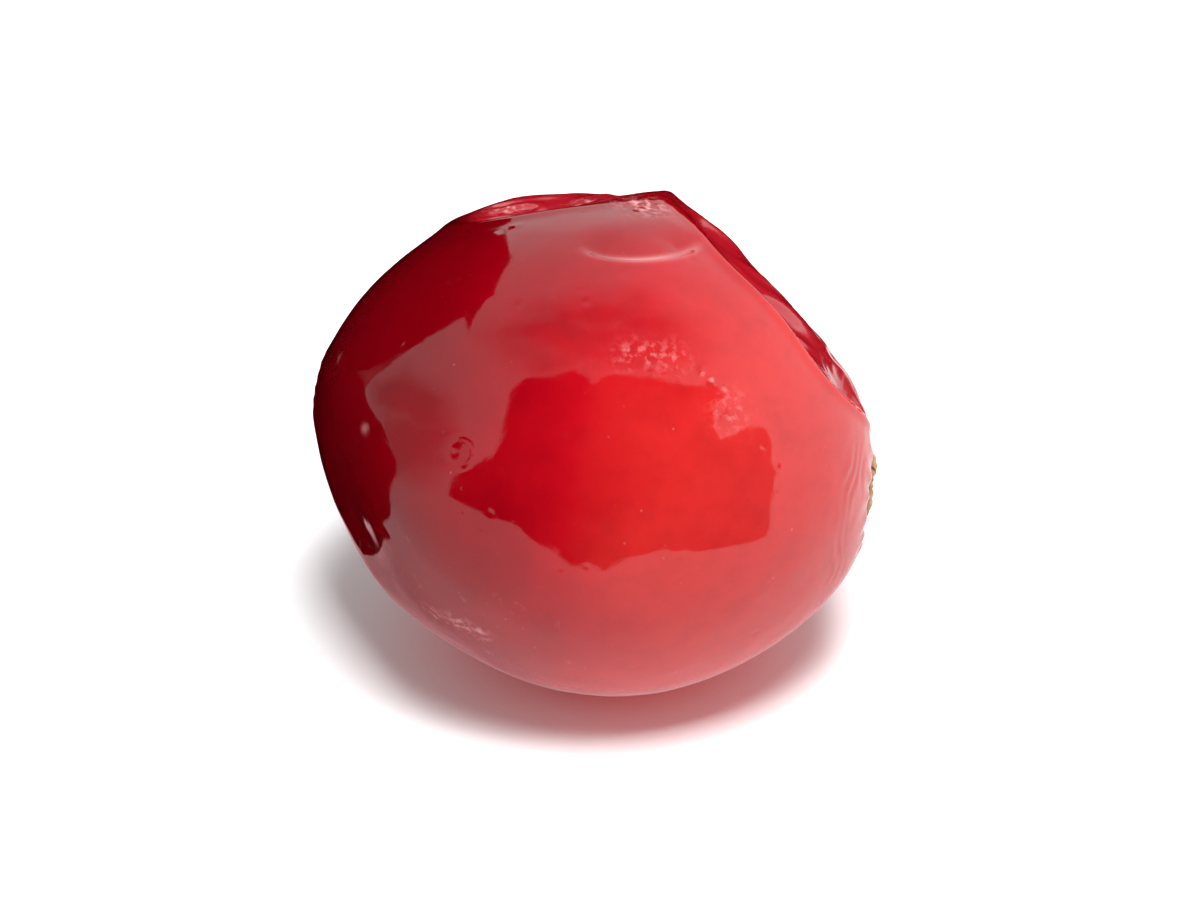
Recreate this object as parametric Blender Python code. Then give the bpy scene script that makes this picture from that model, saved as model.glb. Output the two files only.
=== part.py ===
"""A cranberry lying on its side, in metres, +Z up, on a small flat spot that its soft skin has settled to.

Its core line runs from the stem end at the left, -X, to the blossom end at the right, +X, and dips a bit.
The berry is one body: an egg-shaped form with a few swells and hollows, two pressed-in dents that meet at
a sharp corner of folded skin at the top right, a crease in front of them, a dish for the calyx, and a pit where the
stalk came off.
The calyx is the dry brown crown of the flower: a ring of four short lobes folded in round a sunken disc.
"""

import bmesh
import bpy
import numpy as np
from mathutils import Quaternion, Vector

MM = 0.001

# The berry's centre, over the middle of the whole part's outline on the ground, and the egg form round it.
CENTRE = Vector((-0.057, 0.004, 7.55)) * MM
CORE_LINE = Vector((0.987, -0.036, -0.157)).normalized()
HALF_LENGTH = 9.07 * MM
HALF_WIDTH = 7.87 * MM

# The berry's faces: how many lie along each edge of the cube that they start from, and the way that the
# finest of them face, towards the dents and the calyx, with the share by which they are drawn together there.
BERRY_DIVISIONS = 31
FINEST_WAY = Vector((0.80, 0.20, 0.45)).normalized()
FINEST_SHARE = 0.30

# Broad forms on the egg: the way that each faces, its height (below zero for a hollow) and its spread in
# radians.
SWELLS = (
    ((0.276, 0.552, 0.787), 0.52 * MM, 0.23),
    ((-0.460, 0.508, 0.725), -0.05 * MM, 0.24),
    ((-0.937, -0.329, -0.120), -0.81 * MM, 0.31),
    ((0.300, -0.860, 0.100), 0.16 * MM, 0.45),
    ((-0.350, 0.850, -0.300), -0.22 * MM, 0.33),
    ((-0.620, -0.550, -0.560), -0.34 * MM, 0.36),
    ((0.880, -0.270, -0.385), 0.16 * MM, 0.26),
    ((0.250, -0.560, -0.790), 0.12 * MM, 0.45),
)

# Dents, each as if a large ball had been pressed in: the way that it faces, the least distance left to the
# centre and the ball's radius. The near side of a dent begins at a sharp fold, where the skin stands up, and
# the far side slopes in softly. It starts to soften, and is softest, at these sines of the angle from the
# dent's middle.
DENTS = (
    ((0.756, 0.370, 0.540), 6.83 * MM, 43.1 * MM),
    ((-0.154, 0.586, 0.796), 7.42 * MM, 33.9 * MM),
)
FAR_WAY = (0.0, 0.819, -0.574)
SOFT_START = 0.10
SOFT_FULL = 0.45
SHARP_BLEND = 0.21 * MM
SOFT_BLEND = 1.50 * MM
FOLD_HEIGHT = 0.08 * MM
FOLD_WIDTH = 0.28 * MM

# The dents' floors waver, so that their edges aren't true circles: each wave's direction, times its waves in
# 2 pi.
WAVER_HEIGHT = 0.07 * MM
WAVER_FAR_HEIGHT = 0.13 * MM
WAVER_WAVES = ((9.0, -4.0, 3.0), (-3.0, 8.0, 7.0), (5.0, 6.0, -10.0))

# Bulges that the dents push up behind them, with a hollow between two of them, given as the swells are.
BULGES = (
    ((-0.096, 0.839, 0.536), 1.01 * MM, 0.30),
    ((0.756, 0.474, 0.452), 0.71 * MM, 0.29),
    ((0.921, 0.371, 0.120), 0.64 * MM, 0.25),
    ((0.497, 0.724, 0.479), 0.44 * MM, 0.27),
    ((-0.362, 0.666, 0.652), 0.36 * MM, 0.27),
    ((0.994, 0.097, 0.043), -0.59 * MM, 0.14),
)

# A crease in front of the dents, along part of a ring round one way out of the centre. The skin sinks just
# inside it.
CREASE_RING_FACING = (0.086, 0.286, 0.954)
CREASE_RING_RADIANS = 0.382
CREASE_MIDDLE = (0.200, -0.080, 0.977)
CREASE_FULL_RADIANS = 0.12
CREASE_END_RADIANS = 0.30
CREASE_DEPTH = 0.20 * MM
CREASE_WALL = 0.28 * MM
CREASE_SINK = 1.30 * MM

# Blossom end, on the core line: a round dish that holds the calyx.
DISH_RADIUS = 1.95 * MM
DISH_FLOOR_RADIUS = 1.36 * MM
DISH_DEPTH = 0.62 * MM

# Stem end, a little off the core line: a small pit inside a low lip.
STEM_END = Vector((-0.96, 0.22, 0.12)).normalized()
PIT_RADIUS = 0.62 * MM
PIT_DEPTH = 0.38 * MM
PIT_WALL_POWER = 4
PIT_LIP_RADIUS = 1.15 * MM
PIT_LIP_WIDTH = 0.55 * MM
PIT_LIP_HEIGHT = 0.09 * MM

# The calyx, measured out from the core line, and up from the end of the egg.
CALYX_RADIUS = 1.25 * MM
CALYX_CREST_RADIUS = 0.92 * MM
CALYX_DISC_RADIUS = 0.54 * MM
CALYX_RIM_HEIGHT = -0.12 * MM
CALYX_LOBES = 4
CALYX_LOBE_HEIGHT = 0.13 * MM
CALYX_LOBE_REACH = 0.16 * MM
CALYX_DISC_HEIGHT = -0.28 * MM
CALYX_EDGE_HEIGHT = -0.32 * MM
CALYX_GAP = 0.13 * MM
STYLE_RADIUS = 0.18 * MM
STYLE_HEIGHT = 0.14 * MM
CALYX_SEGMENTS = 48
CALYX_TOP_RINGS = 12
CALYX_BASE_RINGS = 4

# A distance past every part of the berry.
OUT_OF_REACH = 1.0


def unit(vector):
    return np.array(Vector(vector).normalized())


def smooth_step(low, high, value):
    t = np.clip((value - low) / (high - low), 0.0, 1.0)
    return t * t * (3.0 - 2.0 * t)


def smooth_min(a, b, blend):
    """The smaller of a and b, with the edge between them rounded over."""
    share = np.clip(0.5 + 0.5 * (b - a) / blend, 0.0, 1.0)
    return b + (a - b) * share - blend * share * (1.0 - share)


def egg(ways):
    """How far the plain egg reaches each way, round the core line."""
    along = ways @ unit(CORE_LINE)
    across = np.sqrt(np.clip(1.0 - along**2, 0.0, 1.0))
    return 1.0 / np.hypot(along / HALF_LENGTH, across / HALF_WIDTH)


def apart(ways, facing):
    """The angle between each way and one way, in radians."""
    return np.arccos(np.clip(ways @ unit(facing), -1.0, 1.0))


def swelled(reach, ways, forms):
    """The reach with broad round forms raised or sunk."""
    for facing, height, spread in forms:
        reach = reach + height * np.exp(-((apart(ways, facing) / spread) ** 2))
    return reach


def ball_side(ways, facing, least, radius):
    """How far out each way the near side of a ball lies, or out of reach where the ball isn't."""
    distance = least + radius
    along = ways @ unit(facing) * distance
    chord = along**2 - distance**2 + radius**2
    hit = (chord > 0.0) & (along > 0.0)
    return np.where(hit, along - np.sqrt(np.clip(chord, 0.0, None)), OUT_OF_REACH)


def waver(ways):
    """Low waves, from -3 to 3 at the most."""
    return sum(np.sin(ways @ np.array(waves)) for waves in WAVER_WAVES)


def far_share(ways, facing):
    """From 0 on the near half of a dent to 1 at its far edge."""
    facing = unit(facing)
    far = unit(FAR_WAY)
    far = far - (far @ facing) * facing
    return smooth_step(SOFT_START, SOFT_FULL, ways @ (far / np.linalg.norm(far)))


def dented(reach, ways, facing, least, radius):
    """The reach with one dent pressed in, and the skin raised along its sharp edge."""
    far = far_share(ways, facing)
    ball = ball_side(ways, facing, least, radius)
    ball = ball + (WAVER_HEIGHT + (WAVER_FAR_HEIGHT - WAVER_HEIGHT) * far) * waver(ways)
    fold = (1.0 - far) * FOLD_HEIGHT * np.exp(-(((ball - reach) / FOLD_WIDTH) ** 2))
    return smooth_min(reach, ball, SHARP_BLEND + (SOFT_BLEND - SHARP_BLEND) * far) + fold


def crease(ways, reach):
    inside = reach * (CREASE_RING_RADIANS - apart(ways, CREASE_RING_FACING))
    wall = smooth_step(-CREASE_WALL, CREASE_WALL, inside)
    sunk = np.exp(-((np.clip(inside, 0.0, None) / CREASE_SINK) ** 2))
    shown = smooth_step(CREASE_END_RADIANS, CREASE_FULL_RADIANS, apart(ways, CREASE_MIDDLE))
    return -CREASE_DEPTH * wall * sunk * shown


def distance_off(line, ways, reach):
    """How far the skin is from a line out of the centre, or out of reach on the far side from it."""
    along = ways @ unit(line)
    off = reach * np.sqrt(np.clip(1.0 - along**2, 0.0, 1.0))
    return np.where(along > 0.0, off, OUT_OF_REACH)


def dish(ways, reach):
    off = distance_off(CORE_LINE, ways, reach)
    return -DISH_DEPTH * (1.0 - smooth_step(DISH_FLOOR_RADIUS, DISH_RADIUS, off))


def pit(ways, reach):
    off = distance_off(STEM_END, ways, reach)
    hole = -PIT_DEPTH * np.exp(-((off / PIT_RADIUS) ** PIT_WALL_POWER))
    return hole + PIT_LIP_HEIGHT * np.exp(-(((off - PIT_LIP_RADIUS) / PIT_LIP_WIDTH) ** 2))


def berry_reach(ways):
    """How far the skin lies from the centre, each way."""
    reach = swelled(egg(ways), ways, SWELLS)
    for dent in DENTS:
        reach = dented(reach, ways, *dent)
    reach = swelled(reach, ways, BULGES)
    return reach + crease(ways, reach) + dish(ways, reach) + pit(ways, reach)


def settled(points):
    """The points, with any below the ground drawn back to it along their lines, which makes the flat spot."""
    lowest = np.minimum(points[:, 2], -CENTRE.z)
    return points * (-CENTRE.z / lowest)[:, None]


def round_cube(divisions):
    """A cube's faces cut into squares, and their corners as ways out from the middle."""
    mesh = bmesh.new()
    bmesh.ops.create_cube(mesh, size=2.0)
    bmesh.ops.subdivide_edges(mesh, edges=mesh.edges, cuts=divisions - 1, use_grid_fill=True)
    turn = CORE_LINE.to_track_quat("X", "Z")
    for vertex in mesh.verts:
        even = Vector(np.tan(np.array(vertex.co) * np.pi / 4.0)).normalized()
        vertex.co = (turn @ even + FINEST_SHARE * FINEST_WAY).normalized()
    return mesh


def finished(mesh, name, location, rotation, parent, material):
    """A named object from the mesh, smooth, in place and with its material."""
    bmesh.ops.recalc_face_normals(mesh, faces=mesh.faces)
    data = bpy.data.meshes.new(name)
    mesh.to_mesh(data)
    mesh.free()
    data.shade_smooth()
    data.materials.append(material)
    made = bpy.data.objects.new(name, data)
    bpy.context.scene.collection.objects.link(made)
    made.parent = parent
    made.location = location
    made.rotation_mode = "QUATERNION"
    made.rotation_quaternion = rotation
    return made


def berry(parent):
    mesh = round_cube(BERRY_DIVISIONS)
    ways = np.array([vertex.co for vertex in mesh.verts])
    ways /= np.linalg.norm(ways, axis=1)[:, None]
    points = settled(ways * berry_reach(ways)[:, None])
    for vertex, point in zip(mesh.verts, points):
        vertex.co = point
    return finished(mesh, "berry", Vector(), Quaternion(), parent, skin_material())


def calyx_height(off, angle):
    """The height of the calyx's upper side, at a distance from the core line and an angle round it."""
    lobe = 0.5 + 0.5 * np.cos(CALYX_LOBES * angle)
    crest = CALYX_RIM_HEIGHT + CALYX_LOBE_HEIGHT * lobe
    inner = smooth_step(CALYX_DISC_RADIUS, CALYX_CREST_RADIUS - CALYX_LOBE_REACH * lobe, off)
    outer = smooth_step(CALYX_RADIUS, CALYX_CREST_RADIUS, off)
    style = STYLE_HEIGHT * np.exp(-((off / STYLE_RADIUS) ** 2))
    up = CALYX_DISC_HEIGHT + (crest - CALYX_DISC_HEIGHT) * inner + style
    return CALYX_EDGE_HEIGHT + (up - CALYX_EDGE_HEIGHT) * outer


def calyx_base(off, _angle):
    """The height of the calyx's underside, which follows the dish with a small gap."""
    end_radius = HALF_WIDTH**2 / HALF_LENGTH
    return CALYX_GAP - DISH_DEPTH - off**2 / (2.0 * end_radius)


def ring(mesh, radius, height_at):
    """One ring of points round the core line."""
    angles = 2.0 * np.pi * np.arange(CALYX_SEGMENTS) / CALYX_SEGMENTS
    return [
        mesh.verts.new((radius * np.cos(angle), radius * np.sin(angle), height_at(radius, angle)))
        for angle in angles
    ]


def close_ring(mesh, points, height):
    """A fan of faces from a ring to a point on the core line."""
    middle = mesh.verts.new((0.0, 0.0, height))
    for point, after in zip(points, points[1:] + points[:1]):
        mesh.faces.new((point, after, middle))


def calyx(parent):
    mesh = bmesh.new()
    top_radii = CALYX_RADIUS * np.arange(1, CALYX_TOP_RINGS + 1) / CALYX_TOP_RINGS
    base_radii = CALYX_RADIUS * np.arange(CALYX_BASE_RINGS, 0, -1) / CALYX_BASE_RINGS
    rings = [ring(mesh, radius, calyx_height) for radius in top_radii]
    rings += [ring(mesh, radius, calyx_base) for radius in base_radii]
    for inner, outer in zip(rings, rings[1:]):
        for i in range(CALYX_SEGMENTS):
            after = (i + 1) % CALYX_SEGMENTS
            mesh.faces.new((inner[i], inner[after], outer[after], outer[i]))
    close_ring(mesh, rings[0], calyx_height(0.0, 0.0))
    close_ring(mesh, rings[-1], calyx_base(0.0, 0.0))
    outwards = CORE_LINE.to_track_quat("Z", "Y")
    return finished(mesh, "calyx", CORE_LINE * HALF_LENGTH, outwards, parent, calyx_material())


def material(name, colour, roughness):
    made = bpy.data.materials.new(name)
    made.use_nodes = True
    shader = made.node_tree.nodes["Principled BSDF"]
    shader.inputs["Base Color"].default_value = (*colour, 1.0)
    shader.inputs["Roughness"].default_value = roughness
    shader.inputs["Metallic"].default_value = 0.0
    return made


def skin_material():
    return material("skin", (0.55, 0.005, 0.012), 0.15)


def calyx_material():
    return material("dry_calyx", (0.34, 0.19, 0.09), 0.75)


def clear_scene():
    for old in list(bpy.data.objects):
        bpy.data.objects.remove(old)


def build():
    clear_scene()
    middle = bpy.data.objects.new("middle", None)
    middle.location = CENTRE
    bpy.context.scene.collection.objects.link(middle)
    berry(middle)
    calyx(middle)


build()
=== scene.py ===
"""The looks of a cranberry: its skin with folds, ripples and specks, its dry calyx, and a white studio.

The skin and the calyx keep the forms of the two solids that they stand for, and add the fine relief. Lengths
are in metres. The camera looks along +Y and down, with the blossom end at the right.
"""

import math

import bmesh
import bpy
import numpy as np
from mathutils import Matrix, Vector


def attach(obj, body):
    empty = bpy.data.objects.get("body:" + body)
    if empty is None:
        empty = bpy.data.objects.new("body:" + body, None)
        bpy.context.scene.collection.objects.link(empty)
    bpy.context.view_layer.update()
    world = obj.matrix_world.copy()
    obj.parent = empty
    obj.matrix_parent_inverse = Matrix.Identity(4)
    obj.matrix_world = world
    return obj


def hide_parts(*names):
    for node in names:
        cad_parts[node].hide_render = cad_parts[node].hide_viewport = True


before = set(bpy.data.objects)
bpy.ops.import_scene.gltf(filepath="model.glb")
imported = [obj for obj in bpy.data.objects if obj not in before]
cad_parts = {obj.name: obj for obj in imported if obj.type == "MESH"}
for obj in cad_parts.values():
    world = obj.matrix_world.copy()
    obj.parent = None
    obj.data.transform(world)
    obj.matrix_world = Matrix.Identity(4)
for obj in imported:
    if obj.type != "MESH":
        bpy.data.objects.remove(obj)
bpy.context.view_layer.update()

MM = 0.001

# The berry's centre and the egg-shaped form round it.
CENTRE = Vector((-0.057, 0.004, 7.55)) * MM
CORE_LINE = Vector((0.987, -0.036, -0.157)).normalized()
HALF_LENGTH = 9.07 * MM
HALF_WIDTH = 7.87 * MM
SKIN_DIVISIONS = 127

# The skin's points lie closest together this way, towards the folds, by this share.
FINEST_WAY = Vector((0.30, -0.25, 0.75)).normalized()
FINEST_SHARE = 0.34

# Broad forms on the egg: the way that each faces, its height (below zero for a hollow) and its spread in
# radians.
SWELLS = (
    ((0.276, 0.552, 0.787), 0.52 * MM, 0.23),
    ((-0.460, 0.508, 0.725), -0.05 * MM, 0.24),
    ((-0.937, -0.329, -0.120), -0.81 * MM, 0.31),
    ((0.300, -0.860, 0.100), 0.16 * MM, 0.45),
    ((-0.350, 0.850, -0.300), -0.22 * MM, 0.33),
    ((-0.620, -0.550, -0.560), -0.34 * MM, 0.36),
    ((0.880, -0.270, -0.385), 0.16 * MM, 0.26),
    ((0.250, -0.560, -0.790), 0.12 * MM, 0.45),
)

# Dents, each as if a large ball had been pressed in: the way that it faces, the least distance left to the
# centre and the ball's radius. The near side of a dent begins at a sharp fold, where the skin stands up, and
# the far side slopes in softly. It softens between these sines of the angle from its middle.
DENTS = (
    ((0.756, 0.370, 0.540), 6.83 * MM, 43.1 * MM),
    ((-0.154, 0.586, 0.796), 7.42 * MM, 33.9 * MM),
)
FAR_WAY = (0.0, 0.819, -0.574)
SOFT_START = 0.10
SOFT_FULL = 0.45
SHARP_BLEND = 0.13 * MM
SOFT_BLEND = 1.50 * MM
FOLD_HEIGHT = 0.08 * MM
FOLD_WIDTH = 0.22 * MM

# Where the two folds meet they are rounder and lower, over a spread in radians.
CORNER_WAY = (0.285, 0.475, 0.833)
CORNER_SPREAD = 0.17
CORNER_BLEND = 0.50 * MM

# The dents' floors waver, so that their edges aren't true circles: each wave's direction, times its waves in
# 2 pi.
WAVER_HEIGHT = 0.07 * MM
WAVER_FAR_HEIGHT = 0.13 * MM
WAVER_WAVES = ((9.0, -4.0, 3.0), (-3.0, 8.0, 7.0), (5.0, 6.0, -10.0))

# Bulges that the dents push up behind them, with a hollow between two of them, given as the swells are.
BULGES = (
    ((-0.096, 0.839, 0.536), 1.01 * MM, 0.30),
    ((0.756, 0.474, 0.452), 0.71 * MM, 0.29),
    ((0.921, 0.371, 0.120), 0.64 * MM, 0.25),
    ((0.497, 0.724, 0.479), 0.44 * MM, 0.27),
    ((-0.362, 0.666, 0.652), 0.36 * MM, 0.27),
    ((0.994, 0.097, 0.043), -0.59 * MM, 0.14),
)

# A crease in front of the dents, along part of a ring round one way out of the centre. The skin sinks just
# inside it.
CREASE_RING_FACING = (0.086, 0.286, 0.954)
CREASE_RING_RADIANS = 0.382
CREASE_MIDDLE = (0.235, -0.060, 0.970)
CREASE_FULL_RADIANS = 0.17
CREASE_END_RADIANS = 0.33
CREASE_DEPTH = 0.24 * MM
CREASE_WALL = 0.26 * MM
CREASE_SINK = 1.30 * MM

# A painted highlight along the crease, a pale line where its lip would catch the light: how far outside the
# ring, how wide, and where it has died out.
CREASE_HIGHLIGHT_OUTSIDE = -0.02 * MM
CREASE_HIGHLIGHT_WIDTH = 0.19 * MM
CREASE_HIGHLIGHT_MIDDLE = (0.240, -0.055, 0.969)
CREASE_HIGHLIGHT_END_RADIANS = 0.31
CREASE_HIGHLIGHT_SHARE = 0.62

# Blossom end, on the core line: a round dish that holds the calyx.
DISH_RADIUS = 1.95 * MM
DISH_FLOOR_RADIUS = 1.36 * MM
DISH_DEPTH = 0.62 * MM

# Stem end, a little off the core line: a small pit inside a low lip.
STEM_END = Vector((-0.96, 0.22, 0.12)).normalized()
PIT_RADIUS = 0.62 * MM
PIT_DEPTH = 0.38 * MM
PIT_WALL_POWER = 4
PIT_LIP_RADIUS = 1.15 * MM
PIT_LIP_WIDTH = 0.55 * MM
PIT_LIP_HEIGHT = 0.09 * MM

# Fine relief of the skin. Each noise has a height and the size of its features.
SAG_HEIGHT = 0.030 * MM
SAG_SIZE = 2.6 * MM
LUMP_HEIGHT = 0.010 * MM
LUMP_SIZE = 0.9 * MM
WRINKLE_HEIGHT = 0.085 * MM
WRINKLE_SIZE = 1.25 * MM
WRINKLE_BEND = 0.45 * MM
WRINKLE_BEND_SIZE = 2.4 * MM
WRINKLE_WAY = (0.72, 0.10, -0.52)
WRINKLE_STRETCH = 2.6
WRINKLE_SHARPNESS = 0.30
WRINKLE_DEPTH_SHOWN = 0.30 * MM
WRINKLE_START = 2.4 * MM
WRINKLE_FULL = 4.8 * MM

# Ripples ring the calyx: where they begin and end, and how far apart and high they are.
RIPPLE_START = 1.9 * MM
RIPPLE_FULL = 2.6 * MM
RIPPLE_FADE = 3.6 * MM
RIPPLE_END = 6.2 * MM
RIPPLE_LENGTH = 0.50 * MM
RIPPLE_HEIGHT = 0.016 * MM
RIPPLE_SWAY = 0.60 * MM
RIPPLE_SWAY_SIZE = 1.3 * MM
RIPPLE_LEAST_SHOWN = 0.30

# Puckers run out from the calyx and from the stem pit.
PUCKER_COUNT = 17
PUCKER_HEIGHT = 0.030 * MM
PUCKER_BEND = 1.3
PUCKER_BEND_SIZE = 1.1 * MM
DISH_PUCKER_MIDDLE = 1.90 * MM
DISH_PUCKER_WIDTH = 0.45 * MM
PIT_PUCKER_MIDDLE = 0.85 * MM
PIT_PUCKER_WIDTH = 0.40 * MM

# Marks that the skin has where the photograph shows them: facing, radius and height.
MARKS = (
    ((-0.898, -0.076, 0.433), 0.20 * MM, 0.045 * MM),
    ((-0.837, -0.414, 0.357), 0.24 * MM, 0.050 * MM),
    ((-0.860, -0.439, 0.262), 0.13 * MM, 0.030 * MM),
    ((-0.510, -0.716, 0.477), 0.36 * MM, -0.026 * MM),
    ((-0.091, -0.927, 0.364), 0.30 * MM, 0.034 * MM),
    ((0.462, -0.553, 0.694), 0.12 * MM, 0.030 * MM),
    ((0.509, -0.572, 0.644), 0.11 * MM, 0.026 * MM),
    ((0.420, -0.530, 0.737), 0.10 * MM, 0.020 * MM),
    ((0.624, -0.640, 0.448), 0.45 * MM, -0.020 * MM),
)

# Crumpled places, pale and matt: facing, radius and share. Their pale colour is partly the crumpled skin's
# own and partly painted highlight specks. The relief there has a height and a size.
CRUMPLES = (
    ((0.200, 0.361, 0.911), 0.62 * MM, 1.0),
    ((0.080, 0.420, 0.904), 0.45 * MM, 0.6),
    ((-0.029, 0.599, 0.800), 0.50 * MM, 0.8),
    ((-0.353, 0.592, 0.724), 0.50 * MM, 0.7),
    ((-0.533, -0.780, -0.329), 0.50 * MM, 0.7),
    ((-0.454, -0.826, -0.336), 0.35 * MM, 0.6),
    ((-0.640, -0.690, -0.338), 0.40 * MM, 0.5),
    ((0.134, -0.544, 0.828), 0.45 * MM, 0.32),
    ((0.225, -0.530, 0.818), 0.40 * MM, 0.36),
    ((0.315, -0.527, 0.789), 0.50 * MM, 0.32),
    ((0.524, -0.610, 0.595), 0.60 * MM, 0.30),
)
CRUMPLE_HEIGHT = 0.040 * MM
CRUMPLE_SIZE = 0.34 * MM

# Painted highlights: small pale specks that stand for glints on the skin, each with a facing, radius and
# share.
GLINT_SPECKS = (
    ((0.508, -0.557, 0.657), 0.055 * MM, 0.55),
    ((0.458, -0.549, 0.699), 0.060 * MM, 0.65),
    ((0.426, -0.541, 0.725), 0.050 * MM, 0.50),
    ((-0.903, -0.060, 0.425), 0.12 * MM, 0.22),
    ((-0.832, -0.416, 0.367), 0.13 * MM, 0.20),
)

# How many radii out a spot has died out.
SPOT_END = 3.0

# Specks scattered over the whole skin.
SPECK_COUNT = 150
SPECK_RADIUS = (0.07 * MM, 0.17 * MM)
SPECK_HEIGHT = (0.006 * MM, 0.022 * MM)
SPECK_SEED = 11

# The calyx, measured out from the core line, and up from the end of the egg.
CALYX_RADIUS = 1.25 * MM
CALYX_CREST_RADIUS = 0.92 * MM
CALYX_DISC_RADIUS = 0.54 * MM
CALYX_RIM_HEIGHT = -0.10 * MM
CALYX_LOBES = 4
CALYX_LOBE_HEIGHT = 0.05 * MM
CALYX_LOBE_REACH = 0.16 * MM
CALYX_DISC_HEIGHT = -0.30 * MM
CALYX_EDGE_HEIGHT = -0.32 * MM
CALYX_GAP = 0.13 * MM
STYLE_RADIUS = 0.13 * MM
STYLE_HEIGHT = 0.18 * MM
CROWN_SEGMENTS = 160
CROWN_TOP_RINGS = 56
CROWN_BASE_RINGS = 8
CROWN_CRINKLES = 29
CROWN_CRINKLE_HEIGHT = 0.022 * MM
CROWN_GRAIN_HEIGHT = 0.030 * MM
CROWN_GRAIN_SIZE = 0.28 * MM
CROWN_BEND = 2.2
CROWN_SMOOTH_SHARE = 0.3
CROWN_EDGE_SHARE = 0.9
STYLE_WALL_POWER = 4

# Each sepal is a thin dry blade that rises from the crown's crest and folds in over the disc.
SEPAL_ROOT_RADIUS = 1.10 * MM
SEPAL_TIP_RADIUS = 0.30 * MM
SEPAL_ROOT_HEIGHT = -0.26 * MM
SEPAL_ARCH_HEIGHT = 0.34 * MM
SEPAL_TIP_HEIGHT = -0.12 * MM
SEPAL_HALF_WIDTH = 0.46 * MM
SEPAL_THICKNESS = 0.05 * MM
SEPAL_STEPS_ALONG = 26
SEPAL_STEPS_ACROSS = 18
SEPAL_CURL = 0.10 * MM
SEPAL_CURL_AT_ROOT = 0.3
SEPAL_CRINKLE = 0.028 * MM
SEPAL_CRINKLE_WAVES = (7.0, 5.0, 3.0, 2.0)
SEPAL_TAPER_POWER = 2.2
SEPAL_TIP_HALF_WIDTH = 0.04 * MM
SEPAL_ARCH_POWER = 0.7
SEPAL_ARCH_SHARE = 0.55
SEPAL_EDGE_THINNING = 0.7
SEPAL_EDGE_POWER = 4

# What varies from sepal to sepal: turn, lean, reach of the tip, and start of the crinkles.
SEPAL_SEED = 5
SEPAL_TURN = (-0.12, 0.12)
SEPAL_LEAN = (-0.16, 0.16)
SEPAL_STRETCH = (0.7, 1.6)
SEPAL_CRINKLE_START = (0.0, 6.0)

# The camera: the photograph's viewing height, with the berry closer because it stands alone.
VIEW_HEIGHT_DEGREES = 35.0
CAMERA_DISTANCE = 320 * MM
CAMERA_LENS = 300.0
CAMERA_AIM = CENTRE + Vector((0.20, 0.0, -0.15)) * MM

OUT_OF_REACH = 1.0
MOST_STORED = 20.0
WHITE = (1.0, 1.0, 1.0, 1.0)

# The noise draws one of this many slopes for each cell, and is scaled so that it reaches about 1.
NOISE_SLOPES = 256
NOISE_SCALE = 1.6

# The seed of each noise in the relief.
SAG_SEED = 1
LUMP_SEED = 2
WRINKLE_BEND_SEEDS = (21, 22, 23)
WRINKLE_SEED = 24
RIPPLE_SHOWN_SEED = 31
RIPPLE_SWAY_SEED = 32
PUCKER_SEED = 41
CRUMPLE_SEED = 43
CROWN_TURN_SEED = 51
CROWN_GRAIN_SEED = 52


def unit(vector):
    return np.array(Vector(vector).normalized())


def smooth_step(low, high, value):
    t = np.clip((value - low) / (high - low), 0.0, 1.0)
    return t * t * (3.0 - 2.0 * t)


def smooth_min(a, b, blend):
    """The smaller of a and b, with the edge between them rounded over."""
    share = np.clip(0.5 + 0.5 * (b - a) / blend, 0.0, 1.0)
    return b + (a - b) * share - blend * share * (1.0 - share)


def noise(points, size, seed):
    """Smooth noise from about -1 to 1 at each point, with features about as large as the size."""
    random = np.random.default_rng(seed)
    order = random.permutation(NOISE_SLOPES)
    slopes = random.normal(size=(NOISE_SLOPES, 3))
    slopes /= np.linalg.norm(slopes, axis=1)[:, None]
    places = points / size
    corner = np.floor(places).astype(int)
    part = places - corner
    fade = part**3 * (part * (part * 6.0 - 15.0) + 10.0)
    total = np.zeros(len(points))
    for step in np.ndindex(2, 2, 2):
        x, y, z = ((corner + step) % NOISE_SLOPES).T
        key = order[(order[(order[x] + y) % NOISE_SLOPES] + z) % NOISE_SLOPES]
        weight = np.prod(np.where(step, fade, 1.0 - fade), axis=1)
        total += weight * np.einsum("ij,ij->i", slopes[key], part - step)
    return NOISE_SCALE * total


def egg(ways):
    """How far the plain egg reaches each way, round the core line."""
    along = ways @ unit(CORE_LINE)
    across = np.sqrt(np.clip(1.0 - along**2, 0.0, 1.0))
    return 1.0 / np.hypot(along / HALF_LENGTH, across / HALF_WIDTH)


def apart(ways, facing):
    """The angle between each way and one way, in radians."""
    return np.arccos(np.clip(ways @ unit(facing), -1.0, 1.0))


def swelled(reach, ways, forms):
    """The reach with broad round forms raised or sunk."""
    for facing, height, spread in forms:
        reach = reach + height * np.exp(-((apart(ways, facing) / spread) ** 2))
    return reach


def ball_side(ways, facing, least, radius):
    """How far out each way the near side of a ball lies, or out of reach where the ball isn't."""
    distance = least + radius
    along = ways @ unit(facing) * distance
    chord = along**2 - distance**2 + radius**2
    hit = (chord > 0.0) & (along > 0.0)
    return np.where(hit, along - np.sqrt(np.clip(chord, 0.0, None)), OUT_OF_REACH)


def waver(ways):
    """Low waves, from -3 to 3 at the most."""
    return sum(np.sin(ways @ np.array(waves)) for waves in WAVER_WAVES)


def far_share(ways, facing):
    """From 0 on the near half of a dent to 1 at its far edge."""
    facing = unit(facing)
    far = unit(FAR_WAY)
    far = far - (far @ facing) * facing
    return smooth_step(SOFT_START, SOFT_FULL, ways @ (far / np.linalg.norm(far)))


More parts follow.
